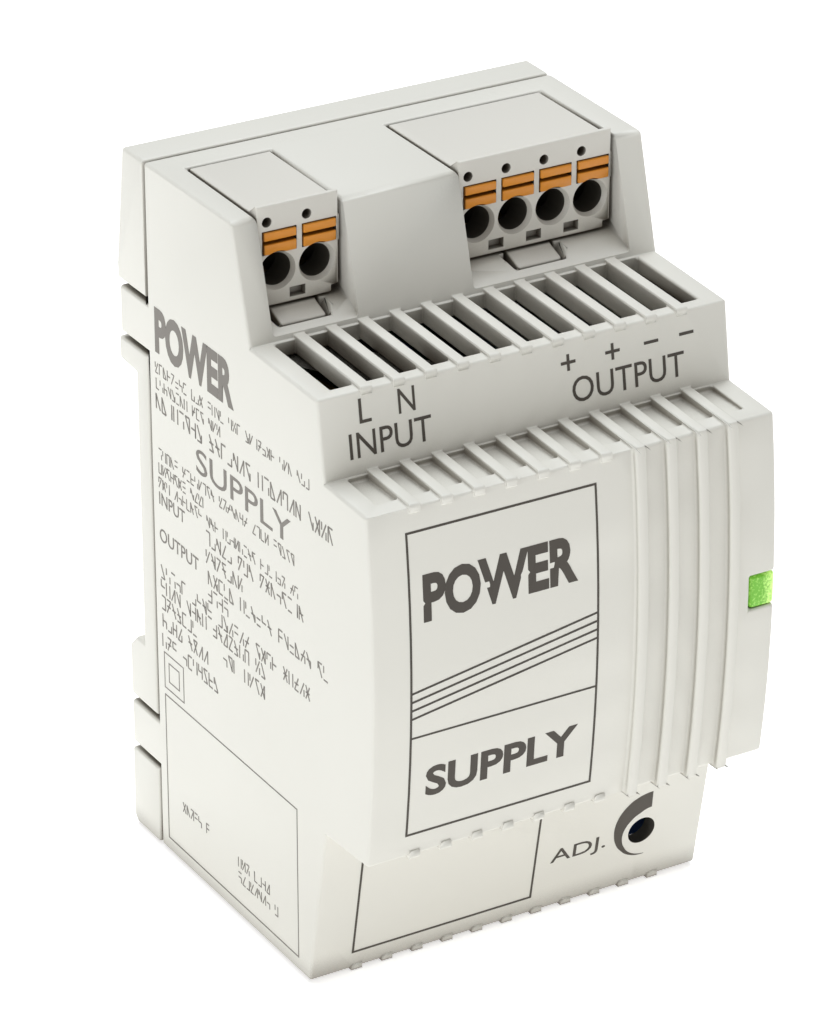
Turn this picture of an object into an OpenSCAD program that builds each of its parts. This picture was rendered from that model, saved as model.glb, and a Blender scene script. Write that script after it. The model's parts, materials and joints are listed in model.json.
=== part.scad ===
// DIN rail power supply with plug-in terminal blocks.
// X is the width, the front faces -Y, Z is up. The origin is the centre of the rail seat.
// Every module below works from the bottom of the housing and is lowered by rail_axis_h.

/* [Housing] */
// Width over the side walls, at the back
body_w = 54; // [50:1:80]
// Height from the bottom face to the top face
body_h = 89; // [84:1:120]
// Depth from the rail seat to the front edge of the top face
top_d = 23.5; // [22:0.5:26]
// Depth from the rail seat to the front edge of the upper ledge
ledge_d = 42; // [38:0.5:46]
// Depth from the rail seat to the front face at its crown
front_d = 53.8; // [51:0.2:66]
// Depth from the rail seat to the front edge of the bottom face
base_d = 39.1; // [36:0.1:46]
// Wall thickness of both shells
wall = 2; // [1.6:0.1:2.4]
// Slope of each side wall, in degrees
side_draft = 0.75; // [0:0.05:1]
// Crown of the front face over a straight line
front_crown = 1.5; // [0.8:0.1:3]

/* [Seam] */
// Where the front shell meets the rear base, in front of the rail seat
seam_d = 3.1; // [2.8:0.1:4]
// Open line between the two shells
seam_gap = 0.4; // [0.2:0.1:0.6]
// Height of each snap tongue of the front shell
tongue_w = 5.9; // [5:0.1:7]
// Slot above and below a snap tongue
tongue_gap = 0.7; // [0.4:0.1:1]

/* [Rail] */
// Height of the rail recess, for a 35 mm rail with play
rail_recess_h = 35.6; // [35.3:0.1:36]
// Height of the recess centre over the bottom face
rail_axis_h = 43.8; // [42:0.1:48]
// Free depth behind the hooks, for a 1 mm rail flange
flange_gap = 1.25; // [1.1:0.05:1.5]
// Width of the fixed upper hook
hook_w = 26; // [16:1:34]
// Width of the sliding foot over its guide flanges
foot_w = 16; // [12:0.5:20]
// How far the foot slides down to let go of the rail
foot_travel = 3; // [2:0.5:3.5]
// Clearance round the foot in its channel
foot_clear = 0.2; // [0.1:0.05:0.3]

/* [Cooling grille] */
// Distance from rib to rib
rib_pitch = 4.06; // [3.8:0.02:4.3]
// Width of a rib
rib_w = 1.4; // [1:0.1:1.8]
// Height of a rib over its face
rib_rise = 0.4; // [0.2:0.1:0.8]
// Height of the ribs on the front face
front_rib_rise = 0.8; // [0.4:0.1:1]

/* [Terminals] */
// Distance from pole to pole
pole_pitch = 5; // [4.8:0.1:5.4]
// Height of a plug's front face, without its pull lip
plug_h = 11.1; // [10.8:0.1:12]
// Open line round a plug in its well
plug_gap = 0.2; // [0.15:0.05:0.5]
// Radius of a wire entry behind its funnel
wire_r = 1.95; // [1.6:0.05:2]
// How far a release button goes in
button_travel = 1.6; // [1:0.1:2]
// Clearance round a release button
button_clear = 0.12; // [0.08:0.01:0.2]
// How far a plug is drawn out along its pins
plug_travel = 16; // [12:1:20]

/* [Adjuster] */
// Radius of the screwdriver hole for the trimmer
adjust_r = 1.85; // [1.6:0.05:2.2]
// Radius of the trimmer's rotor
rotor_r = 1.7; // [1.4:0.05:1.9]

/* [Hidden] */
$fn = 64;

shell_color = [0.86, 0.86, 0.83];
plug_color = [0.74, 0.73, 0.69];
button_color = [0.85, 0.5, 0.12];
brass_color = [0.8, 0.66, 0.36];
steel_color = [0.72, 0.73, 0.75];
board_color = [0.13, 0.4, 0.22];
black_color = [0.12, 0.12, 0.13];

far = 200;                                  // longer than any cut needs to be
touch = 0.01;                               // overlap that joins two shapes of one piece
front_ribs = 4;                             // ribs that run on down the front face
rib_count = 11;

// Side outline of the housing, as depth and height
back_y = 4;
foot_back_y = 3.6;
ledge1_z = body_h - 13.9;
slope_foot = [-top_d - 3.8, ledge1_z + 0.35];
riser_foot = [-ledge_d - 1.45, body_h - 23.25];
brow = [-front_d + front_crown, body_h - 23.6];
chin = [-front_d + front_crown, 21.95];
step_in = [-base_d - 3.95, 21.4];
bottom_front = [-base_d, 0];
rail_low_z = rail_axis_h - rail_recess_h / 2;
rail_high_z = rail_axis_h + rail_recess_h / 2;
outline = [
  bottom_front, [foot_back_y - 0.4, 0], [foot_back_y, 0.4], [foot_back_y, rail_low_z - 1.6],
  [foot_back_y - 1.6, rail_low_z], [0, rail_low_z], [0, rail_high_z], [back_y, rail_high_z + 0.3],
  [back_y, body_h - 15], [back_y - 2, body_h], [-top_d, body_h], slope_foot,
  [-ledge_d, ledge1_z], riser_foot, brow, chin, step_in
];
// The same outline run on behind the housing, which the inside follows
plain_outline = [
  bottom_front, [back_y + 6, 0], [back_y + 6, body_h], [-top_d, body_h], slope_foot,
  [-ledge_d, ledge1_z], riser_foot, brow, chin, step_in
];
crown_half = (brow.y - chin.y) / 2;
crown_r = (crown_half * crown_half + front_crown * front_crown) / (2 * front_crown);
crown_center = [crown_r - front_d, (brow.y + chin.y) / 2];

// Lap rim of the rear base inside the front shell
lap_clear = 0.15;
lap_t = 1.2;
lap_len = 3;
tongue_t = 1.8;
tongue_back_y = 3.5;
tongue_zs = [rail_low_z - 12.05, rail_high_z + 6.9];

// Terminal wells and plugs
input_poles = 2;
output_poles = 4;
input_margin = wall + 1.7;                  // from the housing's edge to the first pole
output_margin = wall + 2.6;                 // from the last pole to the housing's edge
input_x = -body_w / 2 + input_margin + input_poles * pole_pitch / 2;
output_x = body_w / 2 - output_margin - output_poles * pole_pitch / 2;
plug_face_y = -top_d + 0.2;
plug_top_z = body_h;
plug_low_z = plug_top_z - plug_h;
plug_end = 0.15;                            // end wall beside the last pole
plug_key = 0.3;                             // coding key that stands out of that end
well_back_y = -7.2;
plug_back_y = well_back_y - 0.35;
lip_t = 0.5;
lip_rise = 1;
lip_slope = 1.8;
shelf_z = plug_low_z - 0.3;
shelf_brow = [plug_face_y - 1.4, shelf_z - 0.25];
shelf_end = [slope_foot.x + 0.2, ledge1_z + 0.95];
shelf_t = 2.2;
well_wall = 1.2;
pole_wire_z = plug_low_z + 4.1;
funnel_r = wire_r + 0.35;
funnel_l = 0.6;
cavity_front_y = plug_face_y + 4;
cavity_back_y = plug_back_y - 1.7;
cavity_half = pole_pitch / 2 - 0.5;
cavity_low_z = plug_low_z + 1.3;
cavity_high_z = plug_top_z - 1.2;
pin_z = plug_low_z + 3.3;
pin_half = 0.5;
pin_tip_y = plug_back_y - 6;
button_half = pole_pitch / 2 - 0.45;
button_shift = 0.3;
button_low_z = pole_wire_z + wire_r + 0.27;
button_high_z = button_low_z + 2.6;
button_face_y = plug_face_y - 0.3;
button_cap_l = 3.25;
button_neck_half = cavity_half - 0.5;
button_end_y = cavity_front_y + 0.8;
test_r = 0.6;
test_z = plug_top_z - 1;

// Release latch in the shelf under each plug
latch_half = 2.9;
latch_gap = 0.35;
latch_bevel = 0.8;
latch_shift = -0.6;
latch_tip_y = plug_face_y - 2.45;
latch_brow_y = plug_face_y - 0.5;
latch_fall = 0.95;                          // drop of the tab's top from its root to its tip
latch_pivot = [plug_back_y - 1.5, shelf_z - 1];
latch_pin_r = 0.5;
latch_pin_clear = 0.05;
latch_pin_half = latch_half + latch_gap + 1.1;

// Boards
board_t = 1.6;
board_front_y = -5.6;
board_back_y = board_front_y + board_t;
inner_half = body_w / 2 - wall;
board_half = inner_half - lap_clear - lap_t - 0.3;
board_low_z = wall + lap_clear + lap_t + 0.3;
board_high_z = body_h - wall - lap_clear - lap_t - 0.3;
boss_r = 3;
screw_x = board_half - 5.6;
screw_zs = [board_low_z + boss_r + 0.2, plug_low_z - 2.5];
screw_r = 1.25;
screw_head_r = 2.3;
screw_head_t = 1.6;
card_t = 1.2;
trimmer_w = 6.4;
trimmer_x = body_w / 2 - 9.2;
trimmer_z = 7.6;
trimmer_face_y = -base_d + 2.9;
trimmer_d = 4.6;
card_x = trimmer_x + trimmer_w / 2;
card_low_z = board_low_z + 0.6;
card_high_z = brow.y - wall - 2;
card_step_z = chin.y + wall + 0.8;
card_low_y = -base_d + wall + 2.2;
card_high_y = -front_d + front_crown + wall + 2.5;

// Status window in the front right edge
window_w = 3.9;
window_low_z = 41.9;
window_high_z = 46.1;
window_d = 4.2;
window_clear = 0.05;
stem_w = 1.1;
stem_half = 1;
led_l = 2.4;
led_w = 1.7;

// Rail foot
channel_low_y = 0.8;
channel_step_y = 2;
foot_neck_w = foot_w - 4;
foot_top_z = rail_low_z - 1.6;
foot_low_z = 0.6;
spring_low_z = 8;
spring_l = 9.8;
spring_turns = 7;
spring_r = 0.78;
spring_wire_r = 0.2;
spring_y = -0.15;
spring_tab_t = 1.5;
spring_clear = 0.04;                        // free play between the spring and the foot's tab

function unit(v) = v / norm(v);
function left_of(v) = [-v.y, v.x];
// Each edge of a counter-clockwise outline moved inwards by t
function inset(p, t) = [
  for (i = [0 : len(p) - 1])
    let (
      before = left_of(unit(p[i] - p[(i + len(p) - 1) % len(p)])),
      after = left_of(unit(p[(i + 1) % len(p)] - p[i]))
    )
    p[i] + t * (before + after) / (1 + before * after)
];
function half_width(y, t) = body_w / 2 - t - tan(side_draft) * (back_y - y);
function rib_x(i) = (i - (rib_count - 1) / 2) * rib_pitch;
function slot_x(i) = rib_x(i) - rib_pitch / 2;
function pole_x(center, poles, i) = center + (i - (poles - 1) / 2) * pole_pitch;
function plug_low_x(center, poles) = center - poles * pole_pitch / 2;
function plug_high_x(center, poles) = center + poles * pole_pitch / 2 + plug_end;

module lowered() {
  translate([0, 0, -rail_axis_h]) children();
}

// A side outline, given as depth and height, drawn out from x = from to x = to
module along_x(from, to) {
  translate([from, 0, 0]) rotate([90, 0, 90]) linear_extrude(to - from) children();
}

module block(low, high) {
  translate(low) cube(high - low);
}

// A round bar from a point towards the front
module bar_to_front(at, r, l) {
  translate(at) rotate([90, 0, 0]) cylinder(r = r, h = l);
}

module crown(r) {
  intersection() {
    translate(crown_center) circle(r = r, $fn = 256);
    translate([-front_d - 5, chin.y + (crown_r - r)])
      square([5 + front_crown + (crown_r - r) + 1, brow.y - chin.y - 2 * (crown_r - r)]);
  }
}

// Everything inside the sloping side walls
module between_sides(t) {
  y0 = -front_d - 5;
  y1 = back_y + 5;
  translate([0, 0, -5])
    linear_extrude(body_h + 10)
      polygon([
        [-half_width(y0, t), y0], [half_width(y0, t), y0],
        [half_width(y1, t), y1], [-half_width(y1, t), y1]
      ]);
}

module body_solid() {
  intersection() {
    along_x(-body_w, body_w) {
      polygon(outline);
      crown(crown_r);
    }
    between_sides(0);
  }
}

module inner_solid(t) {
  intersection() {
    along_x(-body_w, body_w) {
      polygon(inset(plain_outline, t));
      crown(crown_r - t);
    }
    between_sides(t);
  }
}

module in_front_of(y) {
  intersection() {
    children();
    block([-far, -far, -far], [far, y, far]);
  }
}

module behind(y) {
  intersection() {
    children();
    block([-far, y, -far], [far, far, far]);
  }
}

// Wall and floor round a terminal well, and the well itself
module well_block(x, poles) {
  block(
    [plug_low_x(x, poles) - plug_gap - well_wall, slope_foot.x, shelf_z - shelf_t],
    [plug_high_x(x, poles) + plug_key + plug_gap + well_wall, well_back_y, body_h]
  );
}

module well_cut(x, poles) {
  along_x(plug_low_x(x, poles) - plug_gap, plug_high_x(x, poles) + plug_key + plug_gap)
    polygon([
      [well_back_y, shelf_z], [plug_face_y, shelf_z], shelf_brow, shelf_end,
      [shelf_end.x - 3, shelf_end.y], [shelf_end.x - 3, body_h + 5], [well_back_y, body_h + 5]
    ]);
  // Slot of the release latch with its bevelled sides, and the holes of its pin
  mid = x + latch_shift;
  slot_half = latch_half + latch_gap;
  block(
    [mid - slot_half, latch_tip_y - latch_gap, shelf_z - shelf_t - 1],
    [mid + slot_half, latch_pivot.x + latch_pin_r + 0.5, shelf_z + 1]
  );
  translate([mid, plug_face_y, 0]) rotate([90, 0, 0])
    linear_extrude(plug_face_y - latch_tip_y + latch_gap)
      polygon([
        [-slot_half - latch_bevel, shelf_z + 1], [-slot_half - latch_bevel, shelf_z - 0.1],
        [-slot_half, shelf_z - 1.3], [slot_half, shelf_z - 1.3],
        [slot_half + latch_bevel, shelf_z - 0.1], [slot_half + latch_bevel, shelf_z + 1]
      ]);
  along_x(mid - latch_pin_half - 0.1, mid + latch_pin_half + 0.1)
    translate(latch_pivot) circle(r = latch_pin_r + latch_pin_clear);
}

// One rib on the top, ledges, underside and bottom, and its pockets
module ledge_ribs() {
  for (i = [0 : rib_count - 1]) {
    x0 = rib_x(i) - rib_w / 2;
    x1 = rib_x(i) + rib_w / 2;
    along_x(x0, x1)
      polygon([
        [slope_foot.x + 0.3, slope_foot.y - 1], [slope_foot.x + 0.3, slope_foot.y + rib_rise],
        [-ledge_d - 0.2, ledge1_z + rib_rise], [-ledge_d - 0.2, ledge1_z - 0.6], [-ledge_d + 1, ledge1_z - 1]
      ]);
    along_x(x0, x1)
      polygon([
        [riser_foot.x + 0.5, riser_foot.y - 1], [riser_foot.x + 0.5, riser_foot.y + rib_rise],
        [brow.x - 0.3, brow.y + rib_rise], [brow.x - 0.3, brow.y - 0.6], [brow.x + 1, brow.y - 1]
      ]);
    along_x(x0, x1)
      polygon([
        [chin.x - 0.3, chin.y + 0.7], [chin.x - 0.3, chin.y - rib_rise],
        [step_in.x + 0.5, step_in.y - rib_rise], [step_in.x + 0.5, step_in.y + 1], [chin.x + 1, chin.y + 1]
      ]);
    along_x(x0, x1)
      polygon([
        [-base_d - 0.2, 0.6], [-base_d - 0.2, -rib_rise], [-seam_d - 1, -rib_rise],
        [-seam_d - 1, 1], [-base_d + 1, 1]
      ]);
  }
}

module front_face_ribs() {
  for (i = [rib_count - front_ribs : rib_count - 1])
    along_x(rib_x(i) - rib_w / 2, rib_x(i) + rib_w / 2)
      intersection() {
        difference() {
          translate(crown_center) circle(r = crown_r + front_rib_rise, $fn = 256);
          translate(crown_center) circle(r = crown_r - 0.5, $fn = 256);
        }
        translate([-front_d - 3, chin.y - rib_rise]) square([8, brow.y - chin.y + 2 * rib_rise]);
      }
}

module grille_slots() {
  for (i = [0 : rib_count]) {
    x0 = slot_x(i) - (rib_pitch - rib_w) / 2;
    x1 = slot_x(i) + (rib_pitch - rib_w) / 2;
    block([x0, -ledge_d + 1.85, ledge1_z - wall - 1], [x1, slope_foot.x - 0.3, ledge1_z + 3]);
    block([x0, brow.x + 2.3, brow.y - 0.35], [x1, riser_foot.x - 0.2, brow.y + 3]);
    block([x0, chin.x + 2.3, chin.y - 3], [x1, step_in.x - 0.4, chin.y + 0.1]);
    block([x0, -base_d + 3, -3], [x1, -seam_d - 9, wall + 1]);
  }
}

module snap_tongues() {
  for (z = tongue_zs)
    intersection() {
      difference() {
        between_sides(0);
        between_sides(tongue_t);
      }
      block([-far, -seam_d - 2, z - tongue_w / 2], [far, tongue_back_y, z + tongue_w / 2]);
    }
}

module window_notch(clear) {
  block(
    [body_w / 2 - 0.25 - window_w + clear, -far, window_low_z + clear],
    [far, -front_d + window_d - clear, window_high_z - clear]
  );
}

module front_housing() color(shell_color) lowered() {
  difference() {
    union() {
      in_front_of(-seam_d - seam_gap / 2) body_solid();
      ledge_ribs();
      front_face_ribs();
      snap_tongues();
    }
    difference() {
      in_front_of(-seam_d + 1) inner_solid(wall);
      well_block(input_x, input_poles);
      well_block(output_x, output_poles);
    }
    well_cut(input_x, input_poles);
    well_cut(output_x, output_poles);
    grille_slots();
    window_notch(0);
    bar_to_front([trimmer_x, -base_d + 4, trimmer_z], adjust_r, 12);
  }
}

module rear_base() color(shell_color) lowered() {
  chan = foot_w / 2 + foot_clear;
  neck = foot_neck_w / 2 + foot_clear;
  difference() {
    union() {
      behind(-seam_d + seam_gap / 2) body_solid();
      in_front_of(-seam_d + 1) behind(-seam_d - lap_len) inner_solid(wall + lap_clear);
      along_x(-hook_w / 2, hook_w / 2)
        polygon([
          [back_y - 1, rail_high_z + 2], [flange_gap, rail_high_z + 1], [flange_gap, rail_high_z - 1.6],
          [flange_gap + 0.8, rail_high_z - 1.9], [back_y, rail_high_z + 0.3], [back_y, rail_high_z + 2]
        ]);
    }
    in_front_of(-wall) difference() {
      inner_solid(wall + lap_clear + lap_t);
      for (x = [-screw_x, screw_x], z = screw_zs)
        bar_to_front([x, 0, z], boss_r, -board_back_y);
    }
    for (x = [-screw_x, screw_x], z = screw_zs)
      bar_to_front([x, 0.6, z], screw_r, 6);
    // Slots for the snap tongues
    for (z = tongue_zs)
      difference() {
        block(
          [-far, -seam_d, z - tongue_w / 2 - tongue_gap],
          [far, far, z + tongue_w / 2 + tongue_gap]
        );
        between_sides(tongue_t + lap_clear);
      }
    // Hollow behind the upper shoulder
    block(
      [-inner_half + 9, -wall - 1, rail_high_z + 2.5],
      [inner_half - 9, back_y - wall, body_h - wall - 1.5]
    );
    // Shut-off pockets in the seat under the hook and the foot
    block([-hook_w / 2 - 0.5, -0.4, rail_high_z - 2.5], [hook_w / 2 + 0.5, flange_gap, rail_high_z]);
    block([-neck - 0.5, -0.4, rail_low_z - 0.1], [neck + 0.5, channel_low_y + 0.5, rail_low_z + 2.5]);
    // Channel of the rail foot, and the chamber of its spring
    block([-chan, channel_low_y, -1], [chan, channel_step_y, rail_low_z + 1]);
    block([-neck, channel_low_y, -1], [neck, far, rail_low_z + 1]);
    block([-2, -1.2, spring_low_z], [2, channel_low_y + 0.5, spring_low_z + spring_l + spring_tab_t + 0.2]);
  }
}

module rail_foot() color(plug_color) lowered() {
  neck = foot_neck_w / 2;
  flange_y = channel_low_y + foot_clear;
  step_y = channel_step_y - foot_clear;
  difference() {
    union() {
      block([-foot_w / 2, flange_y, foot_low_z], [foot_w / 2, step_y, foot_top_z]);
      along_x(-neck, neck)
        polygon([
          [flange_y, foot_low_z], [foot_back_y - 0.1, foot_low_z], [foot_back_y - 0.1, foot_top_z + 1.4],
          [flange_gap + 0.9, rail_low_z + 1.9], [flange_gap, rail_low_z + 1.6],
          [flange_gap, rail_low_z - 0.5], [flange_y, foot_top_z]
        ]);
      block(
        [-1.8, -1, spring_low_z + spring_l + spring_clear],
        [1.8, flange_y + 0.5, spring_low_z + spring_l + spring_tab_t]
      );
    }
    block([-3, 0, foot_low_z + 1.8], [3, far, foot_low_z + 3.4]);
  }
}

// A round wire wound up along Z, as one closed tube
module coil(r, wire_r, l, turns) {
  sides = 6;
  per_turn = 12;
  rings = turns * per_turn;
  rise = (l - 2 * wire_r) / rings;
  points = [
    for (i = [0 : rings], k = [0 : sides - 1])
      let (a = 360 * i / per_turn, b = 360 * k / sides, q = r + wire_r * cos(b))
      [q * cos(a), q * sin(a), wire_r + rise * i + wire_r * sin(b)]
  ];
  sleeves = [
    for (i = [0 : rings - 1], k = [0 : sides - 1])
      let (n = (k + 1) % sides)
      [i * sides + k, i * sides + n, (i + 1) * sides + n, (i + 1) * sides + k]
  ];
  start = [[for (k = [sides - 1 : -1 : 0]) k]];
  end = [[for (k = [0 : sides - 1]) rings * sides + k]];
  polyhedron(points = points, faces = concat(sleeves, start, end));
}

module rail_foot_spring() color(steel_color) lowered() {
  translate([0, spring_y, spring_low_z]) coil(spring_r, spring_wire_r, spring_l, spring_turns);
}

module insulation_sheet() color([0.9, 0.86, 0.7]) lowered() {
  t = 0.25;
  reach = screw_x - boss_r - 0.3;
  block([-reach, -wall - t, board_low_z + 1], [reach, -wall, board_high_z - 1]);
}

module light_pipe() color([0.6, 0.9, 0.35]) lowered() {
  intersection() {
    body_solid();
    window_notch(window_clear);
  }
  x = half_width(card_high_y, wall) - 0.3;
  z = (window_low_z + window_high_z) / 2;
  block([x - stem_w, -front_d + window_d - 1, z - stem_half], [x, card_high_y - 0.5, z + stem_half]);
}

// One pole's cavity, wire entry, button pocket, pin slot and test hole
module pole_cuts(x) {
  block([x - cavity_half, cavity_front_y, cavity_low_z], [x + cavity_half, cavity_back_y, cavity_high_z]);
  bar_to_front([x, cavity_front_y + 1, pole_wire_z], wire_r, far);
  translate([x, plug_face_y, pole_wire_z])
    rotate([-90, 0, 0]) translate([0, 0, -touch]) cylinder(r1 = funnel_r, r2 = wire_r, h = funnel_l);
  block(
    [x + button_shift - button_half - button_clear, -far, button_low_z - button_clear],
    [x + button_shift + button_half + button_clear, cavity_front_y + 1, button_high_z + button_clear]
  );
  pin_hole = pin_half + 0.3;
  block([x - pin_hole, cavity_back_y - 1, pin_z - pin_hole], [x + pin_hole, 0, pin_z + pin_hole]);
  bar_to_front([x - pole_pitch / 4, cavity_front_y + 1, test_z], test_r, far);
}

module plug(center, poles) {
  low_x = plug_low_x(center, poles);
  high_x = plug_high_x(center, poles);
  difference() {
    union() {
      along_x(low_x, high_x)
        polygon([
          [plug_face_y, plug_low_z], [plug_back_y, plug_low_z], [plug_back_y, plug_top_z],
          [plug_face_y + lip_slope, plug_top_z], [plug_face_y + lip_t, plug_top_z + lip_rise],
          [plug_face_y, plug_top_z + lip_rise]
        ]);
      block(
        [high_x - 1, plug_face_y + 0.1, button_low_z - 0.3],
        [high_x + plug_key, plug_face_y + 4, button_high_z + 0.3]
      );
    }
    for (i = [0 : poles - 1]) pole_cuts(pole_x(center, poles, i));
    // Marks between the wire entries, and the coding groove
    for (i = [0 : poles - 2])
      block(
        [pole_x(center, poles, i) + pole_pitch / 2 - 1, plug_face_y - 1, plug_low_z + 0.55],
        [pole_x(center, poles, i) + pole_pitch / 2 + 1, plug_face_y + 1, plug_low_z + 1.75]
      );
    block([high_x - 0.9, plug_face_y - 1, plug_low_z - 1], [high_x + 1, plug_face_y + 3, plug_low_z + 0.9]);
  }
}

module input_plug() color(plug_color) lowered() plug(input_x, input_poles);

module output_plug() color(plug_color) lowered() plug(output_x, output_poles);

// A cap in the plug's face, and a neck whose rim stops it behind the wall
module button(x) {
  mid = x + button_shift;
  cap_end_y = button_face_y + button_cap_l;
  difference() {
    union() {
      block([mid - button_half, button_face_y, button_low_z], [mid + button_half, cap_end_y, button_high_z]);
      block(
        [x - button_neck_half, cap_end_y - touch, button_low_z],
        [x + button_neck_half, button_end_y, button_high_z]
      );
      block(
        [x - button_neck_half, cavity_front_y + 0.2, button_high_z - touch],
        [x + button_neck_half, button_end_y, button_high_z + 0.6]
      );
    }
    bar_to_front([x, 0, pole_wire_z], funnel_r + button_clear, far);
    block(
      [mid - button_half - 1, button_face_y - 1, button_low_z + 1.2],
      [mid + button_half + 1, button_face_y + 0.9, button_low_z + 1.6]
    );
  }
}

module input_button(i) color(button_color) lowered() button(pole_x(input_x, input_poles, i));

module output_button(i) color(button_color) lowered() button(pole_x(output_x, output_poles, i));

// A current bar with a socket for the header pin
module contact(x) {
  t = 0.5;
  half = cavity_half - 0.45;
  low = cavity_low_z + 0.15;
  block([x - half, cavity_front_y + 0.4, low], [x + half, cavity_back_y - 0.3, low + t]);
  top = pin_z + pin_half + 0.15;
  block([x - half, cavity_back_y - 4.6, low], [x - half + t, cavity_back_y - 0.3, top + t]);
  block([x - half, cavity_back_y - 4.6, top], [x + half, cavity_back_y - 0.3, top + t]);
}

// A bent strip spring: back leg, top leg and a tip that bears on the bar
module clamp_spring(x) {
  t = 0.35;
  half = cavity_half - 0.6;
  leg_y = cavity_back_y - 5.4;
  top_l = 2;
  top_z = button_high_z - 0.4;
  low = cavity_low_z + 0.15 + 0.5;
  along_x(x - half, x + half)
    polygon([
      [leg_y, low], [leg_y, top_z], [leg_y - top_l, top_z], [leg_y - top_l, top_z - t],
      [leg_y - t, top_z - t], [leg_y - t, low]
    ]);
}

module input_contacts() color(brass_color) lowered()
  for (i = [0 : input_poles - 1]) contact(pole_x(input_x, input_poles, i));

module output_contacts() color(brass_color) lowered()
  for (i = [0 : output_poles - 1]) contact(pole_x(output_x, output_poles, i));

module input_clamp_springs() color(steel_color) lowered()
  for (i = [0 : input_poles - 1]) clamp_spring(pole_x(input_x, input_poles, i));

module output_clamp_springs() color(steel_color) lowered()
  for (i = [0 : output_poles - 1]) clamp_spring(pole_x(output_x, output_poles, i));

// A lever in the shelf: a pin at its rear, and the release tab at its front
module latch(center) {
  x = center + latch_shift;
  tip_z = shelf_z - latch_fall;
  along_x(x - latch_half, x + latch_half) {
    polygon([
      [latch_tip_y, tip_z], [latch_tip_y, tip_z - 0.6], [plug_face_y, latch_pivot.y - latch_pin_r],
      [latch_pivot.x, latch_pivot.y - latch_pin_r], [latch_pivot.x, shelf_z],
      [plug_face_y, shelf_z], [latch_brow_y, shelf_z - 0.25]
    ]);
    translate(latch_pivot) circle(r = latch_pin_r);
  }
  along_x(x - latch_pin_half, x + latch_pin_half)
    translate(latch_pivot) circle(r = latch_pin_r);
}

module input_latch() color(plug_color) lowered() latch(input_x);

module output_latch() color(plug_color) lowered() latch(output_x);

module header(center, poles) {
  difference() {
    block(
      [plug_low_x(center, poles), well_back_y + 0.1, plug_low_z + 0.3],
      [plug_high_x(center, poles), board_front_y, board_high_z]
    );
    for (i = [0 : poles - 1])
      block(
        [pole_x(center, poles, i) - pin_half, -far, pin_z - pin_half],
        [pole_x(center, poles, i) + pin_half, far, pin_z + pin_half]
      );
  }
}

module pins(center, poles) {
  for (i = [0 : poles - 1])
    block(
      [pole_x(center, poles, i) - pin_half, pin_tip_y, pin_z - pin_half],
      [pole_x(center, poles, i) + pin_half, board_back_y + 0.9, pin_z + pin_half]
    );
}

module input_header() color(black_color) lowered() header(input_x, input_poles);

module output_header() color(black_color) lowered() header(output_x, output_poles);

module input_pins() color(brass_color) lowered() pins(input_x, input_poles);

module output_pins() color(brass_color) lowered() pins(output_x, output_poles);

module main_board() color(board_color) lowered() {
  difference() {
    block([-board_half, board_front_y, board_low_z], [board_half, board_back_y, board_high_z]);
    for (x = [-screw_x, screw_x], z = screw_zs)
      bar_to_front([x, 0, z], screw_r + 0.15, 10);
    pins(input_x, input_poles);
    pins(output_x, output_poles);
  }
}

module board_screws() color(steel_color) lowered() {
  cross_y = board_front_y - screw_head_t + 0.7;
  for (x = [-screw_x, screw_x], z = screw_zs)
    difference() {
      union() {
        bar_to_front([x, 0.4, z], screw_r, 0.4 - board_front_y + touch);
        bar_to_front([x, board_front_y, z], screw_head_r, screw_head_t);
      }
      for (turn = [0, 90])
        translate([x, cross_y, z]) rotate([90, turn, 0]) translate([-screw_head_r, -0.3, 0])
          cube([2 * screw_head_r, 0.6, far]);
    }
}

// Upright card beside the right wall, which carries the control parts
module control_board() color(board_color) lowered() {
  along_x(card_x, card_x + card_t)
    polygon([
      [board_front_y, card_low_z], [card_low_y, card_low_z], [card_low_y, card_step_z],
      [card_high_y, card_step_z], [card_high_y, card_high_z], [board_front_y, card_high_z]
    ]);
}

// A part that stands on the main board: its foot's centre is at x and z
module on_board(x, z) {
  translate([x, board_front_y, z]) rotate([90, 0, 0]) children();
}

module legs(spread, l, r = 0.3) {
  for (side = [-1, 1]) translate([side * spread / 2, 0, 0]) cylinder(r = r, h = l);
}

module disc_part(r, t, lift) {
  legs(2 * r * 0.7, lift + r * 0.35);
  translate([0, t / 2, r + lift]) rotate([90, 0, 0]) cylinder(r = r, h = t);
}

module box_part(w, d, h) {
  translate([-w / 2, -d / 2, 0]) cube([w, d, h]);
}

// A can standing on the board, with a groove near its foot
module can(r, h) {
  rotate_extrude()
    polygon([
      [0, 0], [r - 0.3, 0], [r, 0.5], [r, 2], [r - 0.5, 2.4], [r - 0.5, 2.8], [r, 3.2],
      [r, h - 0.4], [r - 0.4, h], [r - 1.2, h], [r - 1.3, h - 0.3], [0, h - 0.3]
    ]);
}

// A power package: tab, moulded body and three legs, its back on y = 0
module power_package() {
  w = 10;
  difference() {
    translate([-w / 2, -1.3, 4]) cube([w, 1.3, 15.6]);
    translate([0, 1, 16.6]) rotate([90, 0, 0]) cylinder(r = 1.8, h = 4);
  }
  translate([-w / 2, -4.4, 4]) cube([w, 3.1 + touch, 9]);
  for (x = [-2.54, 0, 2.54]) translate([x - 0.4, -2.9, 0]) cube([0.8, 0.5, 4 + touch]);
}

// A finned sheet, its flat side on y = 0
module fin_sheet(w, h, fins) {
  translate([-w / 2, 0, 0]) cube([w, 1.5, h]);
  for (i = [0 : fins - 1])
    translate([-w / 2 + i * (w - 1) / (fins - 1), 1.5 - touch, 0]) cube([1, 4, h]);
}

input_side_x = -board_half + 7;
output_side_x = card_x - 8;
transformer_z = 46;
transformer_x = 1.5;

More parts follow.
